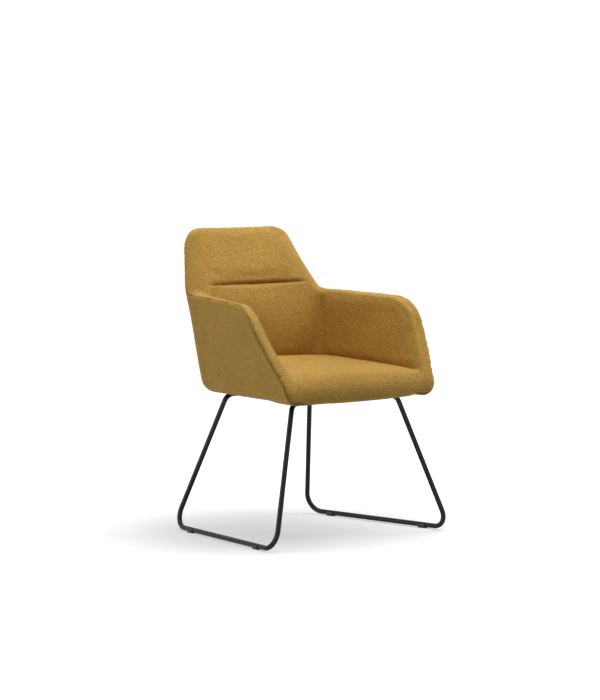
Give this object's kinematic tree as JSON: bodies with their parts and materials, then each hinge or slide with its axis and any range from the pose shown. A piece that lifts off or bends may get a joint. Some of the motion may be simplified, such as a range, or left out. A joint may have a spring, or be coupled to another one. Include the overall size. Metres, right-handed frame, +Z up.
{
  "type": "visitor chair",
  "caption": "Upholstered bucket visitor chair with low arms and a flared back on a sled base of bent steel rod, rigid, for sitting on.",
  "frame": {"origin": "on the floor, under the middle of the chair's overall width and depth", "axes": "+Z up, -Y the way the sitter faces, +X to the sitter's left, with X = 0 the plane of symmetry"},
  "size_m": [0.6274, 0.5682, 0.8379],
  "materials": {
    "powder_coat": "black satin powder coat on steel rod",
    "fastener": "zinc-plated steel",
    "glide": "matt black nylon",
    "shell": "moulded polypropylene, hidden",
    "lining": "black spunbonded lining",
    "upholstery": "ochre melange weave over foam"
  },
  "bodies": {
    "root": {"sled_rod_left": "powder_coat", "sled_rod_right": "powder_coat", "mounting_rail_left": "powder_coat", "mounting_rail_right": "powder_coat", "base_screws": "fastener", "base_washers": "fastener", "threaded_inserts": "fastener", "floor_glides": "glide", "inner_shell": "shell", "seat_lining": "lining", "outer_cover_left": "upholstery", "outer_cover_right": "upholstery", "outer_cover_back": "upholstery", "arm_pad_left": "upholstery", "arm_pad_right": "upholstery", "arm_band_left": "upholstery", "arm_band_right": "upholstery", "back_cushion": "upholstery", "head_cushion": "upholstery", "seat_cushion": "upholstery"}
  },
  "joints": []
}
